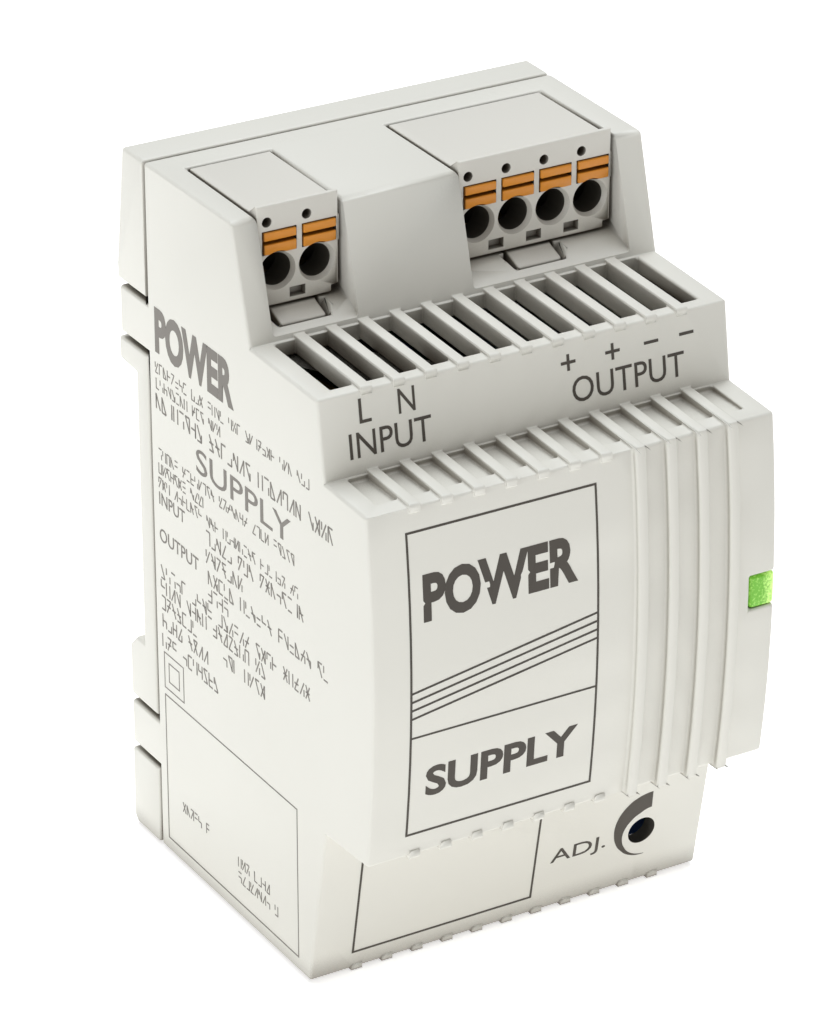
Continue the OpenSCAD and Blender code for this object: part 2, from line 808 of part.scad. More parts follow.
module fuse() color([0.2, 0.2, 0.22]) lowered()
  on_board(input_side_x + 11, 67) {
    legs(5, 1.5);
    translate([0, 0, 1]) cylinder(r = 4.2, h = 7.5);
  }

module varistor() color([0.15, 0.3, 0.6]) lowered() on_board(input_side_x + 1, 69.5) disc_part(5, 3.6, 1.5);

module inrush_thermistor() color([0.25, 0.28, 0.22]) lowered()
  on_board(input_side_x + 1, 63) disc_part(4.5, 3.6, 1.5);

module x_capacitor() color([0.85, 0.7, 0.2]) lowered()
  on_board(input_side_x + 2, 54.5) {
    legs(15, 1, 0.4);
    translate([0, 0, 0.6]) box_part(17.5, 7.5, 14.5);
  }

choke_r = 5.4;
choke_core_r = 2.1;

module line_choke_core() color([0.2, 0.22, 0.2]) lowered()
  on_board(input_side_x + 2, 15) translate([0, 0, 9])
    rotate([90, 0, 0]) rotate_extrude() translate([choke_r, 0]) circle(r = choke_core_r);

module line_choke_windings() color([0.75, 0.42, 0.2]) lowered()
  on_board(input_side_x + 2, 15) translate([0, 0, 9])
    rotate([90, 0, 0])
      for (half = [0, 180], k = [-4 : 4])
        rotate([0, 0, half + 15 * k]) translate([choke_r, 0, 0]) rotate([90, 0, 0])
          rotate_extrude() translate([choke_core_r + 0.42, 0]) circle(r = 0.35, $fn = 24);

module bridge_rectifier() color(black_color) lowered()
  on_board(2, 15) {
    for (x = [-3.8, -1.3, 1.3, 3.8]) translate([x - 0.3, -0.3, 0]) cube([0.6, 0.6, 2]);
    translate([0, 0, 1.5]) box_part(12, 4, 9);
  }

module bulk_capacitor() color([0.16, 0.18, 0.2]) lowered() on_board(input_side_x + 2, 36) can(8, 30);

module switch_transistor() color(black_color) lowered()
  on_board(2, 27) power_package();

module primary_heatsink() color([0.8, 0.81, 0.82]) lowered()
  on_board(2, 27) translate([0, 0, 1]) fin_sheet(13, 22, 5);

// A wound core: E halves outside, a flanged bobbin, and the winding on it
module transformer_core() color([0.22, 0.22, 0.23]) lowered()
  on_board(transformer_x, transformer_z) translate([0, 0, 3]) {
    difference() {
      box_part(20, 7, 21);
      translate([0, 0, 3.2]) box_part(13.6, 9, 14.6);
    }
    translate([0, 0, 3]) box_part(6, 6, 15);
  }

module transformer_bobbin() color([0.1, 0.1, 0.1]) lowered()
  on_board(transformer_x, transformer_z) translate([0, 0, 3]) {
    difference() {
      union() {
        translate([0, 0, 3.4]) box_part(8, 8, 14.2);
        translate([0, 0, 3.4]) box_part(13.2, 17, 1);
        translate([0, 0, 16.6]) box_part(13.2, 17, 1);
      }
      box_part(6.2, 6.2, 30);
    }
    for (x = [-5, 0, 5], y = [-7.5, 7.5]) translate([x, y, -3]) cylinder(r = 0.4, h = 6.5);
  }

module transformer_windings() color([0.85, 0.75, 0.2]) lowered()
  on_board(transformer_x, transformer_z) translate([0, 0, 3 + 4.5])
    difference() {
      box_part(12.8, 15.6, 12);
      box_part(8.1, 8.1, 30);
    }

module y_capacitor() color([0.2, 0.45, 0.75]) lowered() on_board(-1, 61) disc_part(4, 3.4, 1.5);

module output_diode() color(black_color) lowered()
  on_board(output_side_x - 0.5, 66) power_package();

module secondary_heatsink() color([0.8, 0.81, 0.82]) lowered()
  on_board(output_side_x - 0.5, 66) translate([0, 0, 1]) fin_sheet(14, 20, 5);

module output_capacitors() color([0.12, 0.16, 0.3]) lowered()
  for (z = [26, 36.5]) on_board(output_side_x + 1.5, z) can(5, 20);

module output_choke() color([0.2, 0.2, 0.2]) lowered()
  on_board(output_side_x + 1.5, 54.5) {
    legs(4, 2);
    translate([0, 0, 1]) {
      cylinder(r = 4.5, h = 1.2);
      cylinder(r = 3.9, h = 10);
      translate([0, 0, 9]) cylinder(r = 4.5, h = 1.2);
    }
  }

// A part that lies on the left face of the control card
module on_card(y, z) {
  translate([card_x, y, z]) rotate([0, -90, 0]) children();
}

module chip(l, w, h) {
  translate([0, 0, 0.2]) box_part(l, w, h);
  for (side = [-1, 1], k = [-1.5 : 1.5])
    translate([k * l / 4 - 0.2, side * (w / 2 + 0.45) - 0.5, 0]) cube([0.4, 1, 0.5]);
}

module optocoupler() color([0.9, 0.9, 0.9]) lowered() on_card(-26, 15) chip(6.5, 4.6, 3.2);

module control_chip() color(black_color) lowered() on_card(-33, 40) chip(5, 3.9, 1.5);

module indicator_led() color([0.75, 0.9, 0.7]) lowered() {
  x = card_x + card_t;
  z = (window_low_z + window_high_z) / 2;
  y = card_high_y - 0.5 + 0.2;
  difference() {
    block([x, y, z - 1.2], [x + led_w, y + led_l, z + 1.2]);
    bar_to_front([x + led_w / 2, y + 0.6, z], 0.45, 2);
  }
}

module trimmer_body() color([0.15, 0.3, 0.65]) lowered() {
  half = trimmer_w / 2;
  difference() {
    block(
      [trimmer_x - half, trimmer_face_y, trimmer_z - half],
      [trimmer_x + half, trimmer_face_y + trimmer_d, trimmer_z + half]
    );
    bar_to_front([trimmer_x, trimmer_face_y + 1.2, trimmer_z], rotor_r + 0.1, 5);
  }
}

module trimmer_rotor() color([0.95, 0.95, 0.92]) lowered()
  difference() {
    bar_to_front([trimmer_x, trimmer_face_y + 1.1, trimmer_z], rotor_r, 1.3);
    block(
      [trimmer_x - 0.3, trimmer_face_y - 1, trimmer_z - rotor_r - 1],
      [trimmer_x + 0.3, trimmer_face_y + 0.5, trimmer_z + rotor_r + 1]
    );
  }

front_housing();
rear_base();
insulation_sheet();
light_pipe();
rail_foot();
rail_foot_spring();
input_plug();
output_plug();
input_button(0);  // input_button_1
input_button(1);  // input_button_2
output_button(0);  // output_button_1
output_button(1);  // output_button_2
output_button(2);  // output_button_3
output_button(3);  // output_button_4
input_contacts();
output_contacts();
input_clamp_springs();
output_clamp_springs();
input_latch();
output_latch();
input_header();
output_header();
input_pins();
output_pins();
main_board();
board_screws();
control_board();
fuse();
varistor();
inrush_thermistor();
x_capacitor();
line_choke_core();
line_choke_windings();
bridge_rectifier();
bulk_capacitor();
switch_transistor();
primary_heatsink();
transformer_core();
transformer_bobbin();
transformer_windings();
y_capacitor();
output_diode();
secondary_heatsink();
output_capacitors();
output_choke();
optocoupler();
control_chip();
indicator_led();
trimmer_body();
trimmer_rotor();
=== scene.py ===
# %% [markdown]
# A rail-mounted power supply is a moulded plastic case of two shells, with two plug-in terminal
# blocks on its upper step, a status window, a trimmer behind a small hole, and a sprung foot that
# grips the rail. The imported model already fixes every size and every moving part. This script adds
# what the eye needs: rounded mould edges, printed legends, a lit window, and a finish for each part.

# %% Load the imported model
import json
import math

import bmesh
import bpy
import numpy as np
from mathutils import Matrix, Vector

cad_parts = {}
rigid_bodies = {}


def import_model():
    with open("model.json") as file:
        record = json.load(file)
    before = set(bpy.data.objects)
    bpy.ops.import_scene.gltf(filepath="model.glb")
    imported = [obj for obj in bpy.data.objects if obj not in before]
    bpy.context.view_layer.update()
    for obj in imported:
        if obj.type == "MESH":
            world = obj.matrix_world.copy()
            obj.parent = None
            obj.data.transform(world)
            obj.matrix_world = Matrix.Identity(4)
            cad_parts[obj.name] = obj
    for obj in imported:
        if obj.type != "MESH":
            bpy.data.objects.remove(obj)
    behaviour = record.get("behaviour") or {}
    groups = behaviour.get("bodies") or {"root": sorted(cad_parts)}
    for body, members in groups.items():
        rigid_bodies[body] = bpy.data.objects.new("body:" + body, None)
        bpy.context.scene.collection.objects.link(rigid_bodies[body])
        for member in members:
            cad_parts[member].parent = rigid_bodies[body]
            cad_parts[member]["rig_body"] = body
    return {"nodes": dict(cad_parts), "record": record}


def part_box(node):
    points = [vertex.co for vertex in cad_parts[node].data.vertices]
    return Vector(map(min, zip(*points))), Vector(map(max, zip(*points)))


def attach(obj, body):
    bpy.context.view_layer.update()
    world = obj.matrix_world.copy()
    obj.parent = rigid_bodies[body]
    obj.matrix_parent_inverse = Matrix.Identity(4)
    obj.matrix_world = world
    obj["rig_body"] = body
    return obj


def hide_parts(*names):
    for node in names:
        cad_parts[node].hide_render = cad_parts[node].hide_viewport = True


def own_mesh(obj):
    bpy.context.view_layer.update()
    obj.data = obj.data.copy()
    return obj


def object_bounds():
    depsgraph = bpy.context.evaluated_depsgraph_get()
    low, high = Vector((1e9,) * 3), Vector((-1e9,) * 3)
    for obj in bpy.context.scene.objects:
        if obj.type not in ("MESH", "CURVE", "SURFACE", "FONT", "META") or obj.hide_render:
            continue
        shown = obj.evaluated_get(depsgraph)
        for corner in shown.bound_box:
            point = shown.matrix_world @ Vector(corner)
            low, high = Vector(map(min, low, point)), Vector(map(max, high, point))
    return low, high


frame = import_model()
CAD_LOW, CAD_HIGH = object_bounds()
MM = 0.001
NODES = frame["nodes"]

# %% [markdown]
# Colours are written as the hex values that a paint chart gives. Blender works in linear light, so
# one function turns a hex value to linear. A second small function adds a shader node with its
# settings and its links in one line, which keeps each material short enough to read.

# %% Colour and node helpers
def linear(hex_value, alpha=1.0):
    """Each sRGB channel c turned to linear light: c / 12.92 near black, ((c + 0.055) / 1.055) ** 2.4 above."""
    c = np.array([int(hex_value[i:i + 2], 16) for i in (1, 3, 5)]) / 255
    low, high = c / 12.92, ((c + 0.055) / 1.055) ** 2.4
    return (*np.where(c <= 0.04045, low, high).tolist(), alpha)


def add(tree, kind, links=None, **settings):
    """Adds a node. `links` maps an input's name or number to the output socket that feeds it."""
    node = tree.nodes.new(kind)
    for key, value in settings.items():
        if key in node.inputs:
            node.inputs[key].default_value = value
        elif key[0] == "_" and key[1:].isdigit():
            node.inputs[int(key[1:])].default_value = value
        else:
            setattr(node, key, value)
    for key, socket in (links or {}).items():
        tree.links.new(socket, node.inputs[key])
    return node


def start_material(name, **shader):
    """A new material with a Principled shader. Constant values go on the shader's own sockets."""
    mat = bpy.data.materials.new(name)
    mat.use_nodes = True
    tree = mat.node_tree
    principled = tree.nodes["Principled BSDF"]
    for key, value in shader.items():
        principled.inputs[key.replace("_", " ")].default_value = value
    return mat, tree, principled


# %% [markdown]
# Injection-moulded plastic takes the grain of its steel mould. Spark erosion leaves fine pits, so
# the gloss is broken into a soft satin, and the colour drifts very slightly where the melt cooled
# at different speeds. Two noises do this: a fine one for the pits, and a slow one for the drift.
# Grooves and corners get painted shade: the colour is turned darker and warmer there, by the
# share of open sky that a point sees within a few millimetres.

# %% Moulded plastics
def grain(tree, principled, size_mm, depth_mm, strength=0.6):
    """Pits of about size_mm, depth_mm deep, added to the shader's normal as a bump."""
    where = add(tree, "ShaderNodeTexCoord")
    pits = add(tree, "ShaderNodeTexNoise", {"Vector": where.outputs["Object"]},
               Scale=1 / (size_mm * MM), Detail=3.0, Roughness=0.6)
    bump = add(tree, "ShaderNodeBump", {"Height": pits.outputs["Fac"]},
               Strength=strength, Distance=depth_mm * MM)
    tree.links.new(bump.outputs["Normal"], principled.inputs["Normal"])
    return where, pits


def moulded(name, light, dark, roughness, grain_mm=0.35, depth_mm=0.012, spread=0.08, painted_crevice_shade=None, **shader):
    """Moulded plastic: spark-eroded pits, a slow colour drift between two tones, and a gloss that
    varies. Its shade colour, if given, is painted into grooves and corners as shade."""
    mat, tree, principled = start_material(name, **shader)
    where, pits = grain(tree, principled, grain_mm, depth_mm)
    drift = add(tree, "ShaderNodeTexNoise", {"Vector": where.outputs["Object"]},
                Scale=1 / (22 * MM), Detail=2.0)
    colour = add(tree, "ShaderNodeMix", {"Factor": drift.outputs["Fac"]}, data_type="RGBA")
    colour.inputs["A"].default_value = linear(dark)
    colour.inputs["B"].default_value = linear(light)
    # Painted shade: where a point sees little open sky within 6 mm, its colour is mixed towards the shade colour.
    if painted_crevice_shade:
        sky = add(tree, "ShaderNodeAmbientOcclusion", samples=8, Distance=6 * MM)
        unshaded_share = add(tree, "ShaderNodeMapRange", {"Value": sky.outputs["AO"]})
        unshaded_share.inputs["From Min"].default_value = 0.15
        unshaded_share.inputs["From Max"].default_value = 0.75
        colour = add(tree, "ShaderNodeMix", {"Factor": unshaded_share.outputs["Result"], "B": colour.outputs["Result"]},
                     data_type="RGBA")
        colour.inputs["A"].default_value = linear(painted_crevice_shade)
    tree.links.new(colour.outputs["Result"], principled.inputs["Base Color"])
    gloss = add(tree, "ShaderNodeMapRange", {"Value": pits.outputs["Fac"]})
    gloss.inputs["To Min"].default_value = roughness - spread
    gloss.inputs["To Max"].default_value = roughness + spread
    tree.links.new(gloss.outputs["Result"], principled.inputs["Roughness"])
    return mat


# The shell, terminal and orange plastics get painted shade in their grooves and corners; the third colour of each is
# that shade.
SHELL = moulded("polycarbonate_light_grey_spark_eroded", "#E3E0D6", "#DEDBD1", 0.46, painted_crevice_shade="#675D50")
TERMINAL = moulded("polyamide_light_grey_moulded", "#E1DDD3", "#DCD8CE", 0.42, grain_mm=0.25, painted_crevice_shade="#5F564A")
# Painted shade: a dark grey for faces deep inside holes, where shade falls on the same light plastic.
SHADED = moulded("polyamide_painted_shade_deep_in_holes", "#4A463E", "#3F3B34", 0.6, grain_mm=0.25)
ORANGE = moulded("polyamide_orange_moulded", "#E8962A", "#DF8A20", 0.38, grain_mm=0.25, painted_crevice_shade="#70450F")
BLACK = moulded("epoxy_black_transfer_moulded", "#26262A", "#1D1D20", 0.5, grain_mm=0.18)
BLUE = moulded("epoxy_blue_dip_coated", "#2F5FA8", "#274F90", 0.3, grain_mm=0.9, depth_mm=0.03)
GREEN_DIP = moulded("epoxy_green_dip_coated", "#4C5A45", "#414E3B", 0.35, grain_mm=0.9, depth_mm=0.03)
YELLOW = moulded("polyester_yellow_film_case", "#D9A93A", "#CF9C2E", 0.4)
WHITE = moulded("polyamide_white_moulded", "#EDECE6", "#E4E3DC", 0.45)
SLEEVE = moulded("pvc_sleeve_dark_blue_shrunk", "#232F4D", "#1B2540", 0.25, grain_mm=1.6, depth_mm=0.02)
FERRITE = moulded("ferrite_dark_grey_sintered", "#3C3D40", "#2E2F32", 0.62, grain_mm=0.3, depth_mm=0.04)
SHEET = moulded("polyester_film_natural", "#D8CFB4", "#CFC5A8", 0.3, grain_mm=2.5, depth_mm=0.01)
print("plastics", [m.name for m in bpy.data.materials if m.users])

# %% [markdown]
# Metal shows its making too. Drawn strip and rolled sheet carry fine lines one way, which stretch
# a highlight across them. A noise squeezed along one axis gives those lines. Enamelled wire and a
# woven laminate repeat at a fixed pitch, so a wave of that pitch stands for each turn or thread.

# %% Metals, wire and laminate
def drawn_metal(name, light, dark, roughness, squeeze=(1.0, 1.0, 12.0), line_mm=0.08):
    """Metal with fine lines along the axis that `squeeze` shortens least."""
    mat, tree, principled = start_material(name, Metallic=1.0)
    where = add(tree, "ShaderNodeTexCoord")
    turn = add(tree, "ShaderNodeMapping", {"Vector": where.outputs["Object"]}, Scale=squeeze)
    lines = add(tree, "ShaderNodeTexNoise", {"Vector": turn.outputs["Vector"]},
                Scale=1 / (line_mm * MM * 12), Detail=4.0)
    colour = add(tree, "ShaderNodeMix", {"Factor": lines.outputs["Fac"]}, data_type="RGBA")
    colour.inputs["A"].default_value = linear(dark)
    colour.inputs["B"].default_value = linear(light)
    gloss = add(tree, "ShaderNodeMapRange", {"Value": lines.outputs["Fac"]})
    gloss.inputs["To Min"].default_value = roughness - 0.1
    gloss.inputs["To Max"].default_value = roughness + 0.12
    bump = add(tree, "ShaderNodeBump", {"Height": lines.outputs["Fac"]}, Strength=0.4, Distance=0.006 * MM)
    tree.links.new(colour.outputs["Result"], principled.inputs["Base Color"])
    tree.links.new(gloss.outputs["Result"], principled.inputs["Roughness"])
    tree.links.new(bump.outputs["Normal"], principled.inputs["Normal"])
    return mat


def repeated(name, light, dark, roughness, pitch_mm, axis, depth_mm, cross=None, **shader):
    """Bands of pitch_mm along one object axis, crossed by a second axis for a weave."""
    mat, tree, principled = start_material(name, Roughness=roughness, **shader)
    where = add(tree, "ShaderNodeTexCoord")
    height = None
    for direction in filter(None, (axis, cross)):
        wave = add(tree, "ShaderNodeTexWave", {"Vector": where.outputs["Object"]},
                   bands_direction=direction, Scale=math.pi / (10 * pitch_mm * MM) * 2, Distortion=0.35)
        height = wave.outputs["Fac"] if height is None else add(
            tree, "ShaderNodeMath", {0: height, 1: wave.outputs["Fac"]}, operation="MULTIPLY").outputs[0]
    colour = add(tree, "ShaderNodeMix", {"Factor": height}, data_type="RGBA")
    colour.inputs["A"].default_value = linear(dark)
    colour.inputs["B"].default_value = linear(light)
    bump = add(tree, "ShaderNodeBump", {"Height": height}, Strength=0.7, Distance=depth_mm * MM)
    tree.links.new(colour.outputs["Result"], principled.inputs["Base Color"])
    tree.links.new(bump.outputs["Normal"], principled.inputs["Normal"])
    return mat


BRASS = drawn_metal("brass_tinned_strip", "#C9B27A", "#B49A5E", 0.32)
STEEL = drawn_metal("spring_steel_drawn", "#B9BBBE", "#9A9CA0", 0.3, (12.0, 1.0, 1.0))
ALUMINIUM = drawn_metal("aluminium_extruded", "#C6C9CC", "#B2B5B9", 0.36)
COPPER = drawn_metal("copper_wire_enamelled", "#B5653A", "#9C4F28", 0.28, (3.0, 3.0, 3.0), 0.2)
LAMINATE = repeated("glass_epoxy_green_solder_mask", "#2B6B42", "#1F5533", 0.35, 0.6, "X", 0.01, "Z")
TAPE = repeated("polyester_tape_over_winding", "#D8B84A", "#C7A436", 0.32, 0.5, "Y", 0.04)
print("materials", len(bpy.data.materials))

# %% [markdown]
# No moulded edge is a knife edge: the steel leaves a radius of a few tenths of a millimetre, and
# that radius is what catches the light and makes a case read as plastic. The CAD edges are sharp,
# so a merged copy of each shell is bevelled. One radius for all would tear where a rib is only
# 0.4 mm high, so every edge first measures the room beside it, and takes a share of that at most.

# %% Rounded copies of the CAD shells
def merged(node, cuts=()):
    """A bmesh of a CAD node with its loose triangles joined, and flat neighbours made one face.
    Each cut is an axis and a place in metres. A face with a hole in it can't be one face, and
    cuts through the middles of the holes keep its parts square to every edge."""
    bm = bmesh.new()
    bm.from_mesh(NODES[node].data)
    bmesh.ops.remove_doubles(bm, verts=bm.verts, dist=0.002 * MM)
    bmesh.ops.dissolve_degenerate(bm, edges=bm.edges, dist=0.002 * MM)
    for axis, at in cuts:
        across = Vector([float(k == axis) for k in range(3)])
        cut = bmesh.ops.bisect_plane(bm, geom=bm.verts[:] + bm.edges[:] + bm.faces[:], dist=0.001 * MM,
                                     plane_co=across * at, plane_no=across)
        for part in cut["geom_cut"]:
            if isinstance(part, bmesh.types.BMEdge):
                part.seam = True
    bmesh.ops.dissolve_limit(bm, verts=bm.verts, edges=bm.edges, angle_limit=math.radians(0.4), delimit={"SEAM"})
    bm.normal_update()
    return bm


def room_beside(bm, sharp):
    """For each sharp edge, the least distance across its two faces to another sharp edge, and the
    length of the short edges that it turns into at its ends."""
    room = {e: math.inf for e in sharp}
    marked = set(sharp)
    for face in bm.faces:
        rim = [e for e in face.edges if e in marked]
        if len(rim) < 2:
            continue
        start = np.array([e.verts[0].co for e in rim])
        end = np.array([e.verts[1].co for e in rim])
        along = end - start
        length = np.linalg.norm(along, axis=1)
        along = along / length[:, None]
        samples = start[:, None] + (end - start)[:, None] * np.array([0.04, 0.3, 0.5, 0.7, 0.96])[None, :, None]
        away = samples[:, :, None, :] - start[None, None, :, :]
        t = np.clip(np.einsum("abcd,cd->abc", away, along), 0, length[None, None, :])
        near = np.linalg.norm(away - t[..., None] * along[None, None], axis=3)
        turned = np.abs(along @ along.T)
        touching = np.array([[bool(set(a.verts) & set(b.verts)) for b in rim] for a in rim])
        near = np.where(touching[:, None, :], math.inf, near)
        least = near.min(axis=(1, 2))
        for i, e in enumerate(rim):
            room[e] = min(room[e], float(least[i]))
            for j in np.nonzero(touching[i] & (turned[i] < 0.94))[0]:
                room[e] = min(room[e], float(length[j]) * math.sqrt(1 - turned[i, j] ** 2))
    return room


def rounded_copy(node, name, radius_mm, material, share=0.42, segments=3, cuts=(), soft=None, crisp=None, shaded=None):
    """Copies a CAD node and rounds every edge that turns more than 25 degrees. The radius is
    radius_mm where there is room, and `share` of the room beside the edge where there isn't.
    `soft` is a test of an edge's middle that gives it twice the radius, and `crisp` one that keeps
    it sharp. `shaded` is a test of a face's middle that gives the face the second material, a dark
    grey that paints the shade deep inside a hole."""
    bm = merged(node, cuts)
    weight = bm.edges.layers.float.new("bevel_weight_edge")
    sharp = [e for e in bm.edges if len(e.link_faces) == 2 and e.calc_face_angle(0) > math.radians(25)]
    kept = {e for e in sharp if crisp and crisp((e.verts[0].co + e.verts[1].co) / 2)}
    for e in kept:
        e.smooth = False
    room = room_beside(bm, sharp)
    sharp = [e for e in sharp if e not in kept]
    widest = radius_mm * MM * (2 if soft else 1)
    for e in sharp:
        middle = (e.verts[0].co + e.verts[1].co) / 2
        wanted = min(widest if soft and soft(middle) else radius_mm * MM, share * room[e])
        if wanted < 0.02 * MM:
            e.smooth = False
        else:
            e[weight] = wanted / widest
    mesh = bpy.data.meshes.new(name)
    for face in bm.faces:
        face.smooth = True
        face.material_index = int(bool(shaded and shaded(face.calc_center_median())))
    bm.to_mesh(mesh)
    bm.free()
    obj = bpy.data.objects.new(name, mesh)
    bpy.context.scene.collection.objects.link(obj)
    bevel = obj.modifiers.new("mould_radius", "BEVEL")
    bevel.limit_method = "WEIGHT"
    bevel.width = widest
    bevel.segments = segments
    bevel.use_clamp_overlap = False
    bevel.harden_normals = True
    mesh.materials.append(material)
    # Faces picked by `shaded` get the dark grey of painted shade.
    if shaded:
        mesh.materials.append(SHADED)
    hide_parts(node)
    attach(obj, NODES[node]["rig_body"])
    print(f"{name}: {len(sharp)} edges to round, {len(mesh.polygons)} faces")
    return obj


PLUG_LOW, PLUG_HIGH = {}, {}
for side in ("input", "output"):
    PLUG_LOW[side], PLUG_HIGH[side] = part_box(f"{side}_plug")
TOP_FRONT = PLUG_LOW["input"].y
trimmer = sum(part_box("trimmer_rotor"), Vector()) / 2


def in_hole(point):
    """How far a point is from the axis of the trimmer's hole."""
    return math.hypot(point.x - trimmer.x, point.z - trimmer.z)


# The wall of the trimmer's hole gets the dark grey of painted shade.
housing = rounded_copy(
    "front_housing", "front_shell", 0.4, SHELL, cuts=[(0, trimmer.x), (2, trimmer.z)],
    soft=lambda m: m.z > PLUG_HIGH["input"].z - 1.3 * MM and abs(m.y - TOP_FRONT) < 0.6 * MM,
    crisp=lambda m: in_hole(m) < 2.1 * MM,
    shaded=lambda m: in_hole(m) < 2.1 * MM and m.y < trimmer.y)
base = rounded_copy("rear_base", "rear_shell", 0.4, SHELL)
lens = rounded_copy("light_pipe", "status_lens", 0.5, SHELL)


def terminal_block(side):
    """The plug's rounded copy, cut through its wire entries, test holes and the walls between."""
    bores = [m["pos_m"][0] for m in frame["record"]["mounts"] if m["name"].startswith(side + "_wire")]
    pitch = abs(bores[1] - bores[0])
    cuts = [(0, x + k * pitch) for x in bores for k in (-0.25, 0.0, 0.517)]
    low, high = PLUG_LOW[side], PLUG_HIGH[side]
    edge = 0.06 * MM

    def inside(m):
        return low.x + edge < m.x < high.x - 0.35 * MM and low.z + edge < m.z < high.z - 1.05 * MM

    # Faces more than 1.2 mm behind the plug's face, below its test holes, get the dark grey of painted shade.
    return rounded_copy(f"{side}_plug", f"{side}_terminal_block", 0.2, TERMINAL, cuts=cuts, crisp=inside,
                        shaded=lambda m: m.y > low.y + 1.2 * MM and inside(m) and m.z < high.z - 2.7 * MM)


plugs = [terminal_block(side) for side in ("input", "output")]
latches = [rounded_copy(f"{s}_latch", f"{s}_latch_lever", 0.3, TERMINAL) for s in ("input", "output")]
foot = rounded_copy("rail_foot", "rail_foot_slider", 0.3, TERMINAL)
buttons = [rounded_copy(n, n + "_cap", 0.15, ORANGE, segments=2) for n in sorted(NODES) if "_button_" in n]

# %% [markdown]
# A status window is a light pipe: a clear moulding that carries the light of a small lamp behind
# it. When lit, it glows unevenly, brighter near the lamp, with small bright grains where its
# etched face scatters the light.

# %% The lit window
def lit_window(name, bright, deep, strength):
    """Glow between two greens, by a fine grain over a slow fall-off across the window."""
    mat, tree, principled = start_material(name, Roughness=0.3)
    low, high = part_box("light_pipe")
    where = add(tree, "ShaderNodeTexCoord")
    split = add(tree, "ShaderNodeSeparateXYZ", {"Vector": where.outputs["Object"]})
    fall = add(tree, "ShaderNodeMapRange", {"Value": split.outputs["X"]})
    fall.inputs["From Min"].default_value = low.x + 1.5 * MM
    fall.inputs["From Max"].default_value = high.x
    fall.inputs["To Min"].default_value = -0.22
    fall.inputs["To Max"].default_value = 0.3
    sparks = add(tree, "ShaderNodeTexNoise", {"Vector": where.outputs["Object"]},
                 Scale=1 / (0.32 * MM), Detail=2.0, Roughness=0.7)
    mixed = add(tree, "ShaderNodeMath", {0: sparks.outputs["Fac"], 1: fall.outputs["Result"]}, operation="ADD")
    ramp = add(tree, "ShaderNodeValToRGB", {"Fac": mixed.outputs[0]})
    ramp.color_ramp.elements[0].position = 0.3
    ramp.color_ramp.elements[0].color = linear(deep)
    ramp.color_ramp.elements[1].position = 0.75
    ramp.color_ramp.elements[1].color = linear(bright)
    tree.links.new(ramp.outputs["Color"], principled.inputs["Base Color"])
    tree.links.new(ramp.outputs["Color"], principled.inputs["Emission Color"])
    principled.inputs["Emission Strength"].default_value = strength
    return mat


GLOW = lit_window("acrylic_light_pipe_lit_green", "#C8F284", "#62A526", 0.42)
lens.data.materials[0] = GLOW

# %% [markdown]
# The legends are pad-printed: a film of ink a few hundredths of a millimetre thick that follows
# the case. Each is drawn flat first, in millimetres across and up its face, and then every point
# is moved back onto the face. The face's own shape is read from the CAD shell's rim, so the film
# follows the crown of the front without a gap.

# %% Ink on the case
def ink(name, light, dark):
    """Ink film: near-matt, with pinholes too small to see singly, which make it read as print."""
    return moulded(name, light, dark, 0.55, grain_mm=0.12, depth_mm=0.006, spread=0.05)


INK = ink("screen_ink_dark_brown", "#4A4238", "#3C352C")
PALE_INK = ink("screen_ink_worn_grey", "#857F77", "#6F6961")
FILM_MM = 0.02
shell_points = np.array([v.co for v in NODES["front_housing"].data.vertices]) / MM
SHELL_LOW, SHELL_HIGH = (np.array(p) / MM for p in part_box("front_housing"))
rim = shell_points[shell_points[:, 0] < SHELL_LOW[0] + 1.2]
front_rim = rim[rim[:, 1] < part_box("trimmer_body")[0].y / MM - 2.5]
front_rim = front_rim[np.argsort(front_rim[:, 2])]
wall_rim = rim[np.argsort(rim[:, 1])]


def on_front(flat, lift):
    """(x, z) pairs laid on the front: y is read off the rim's profile at each z, less the lift."""
    y = np.interp(flat[:, 1], front_rim[:, 2], front_rim[:, 1]) - lift
    return np.stack([flat[:, 0], y, flat[:, 1]], 1) * MM


def on_left(flat, lift):
    """(distance forward, z) pairs laid on the left wall: x is read off the rim at each depth."""
    x = np.interp(-flat[:, 0], wall_rim[[0, -1], 1], wall_rim[[0, -1], 0]) - lift
    return np.stack([x, -flat[:, 0], flat[:, 1]], 1) * MM


def dense(corners, step=0.8, closed=False):
    """Points along straight legs, no further apart than step, with every corner kept."""
    p = np.array(corners + (corners[:1] if closed else []), float)
    legs = [a + (b - a) * np.arange(n := max(1, int(np.ceil(np.linalg.norm(b - a) / step))))[:, None] / n
            for a, b in zip(p, p[1:])]
    return np.vstack(legs if closed else legs + [p[-1:]])


def ribbon(path, width, closed=False):
    """A band about a path: each point goes half the width to either side, along the mean normal of
    its two legs, divided by the cosine of half the turn between them so that the band keeps its width."""
    path = np.asarray(path, float)
    legs = np.diff(np.vstack([path, path[:1]]) if closed else path, axis=0)
    legs /= np.linalg.norm(legs, axis=1)[:, None]
    before = np.roll(legs, 1, axis=0) if closed else np.vstack([legs[:1], legs])
    after = legs if closed else np.vstack([legs, legs[-1:]])
    both = before + after
    normal = np.stack([-both[:, 1], both[:, 0]], 1) / (1 + (before * after).sum(1))[:, None]
    offset = normal * np.broadcast_to(np.asarray(width, float), (len(path),))[:, None] / 2
    i = np.arange(len(path) if closed else len(path) - 1)
    j = (i + 1) % len(path)
    n = len(path)
    return np.vstack([path + offset, path - offset]), np.stack([i + n, j + n, j, i], 1).tolist()


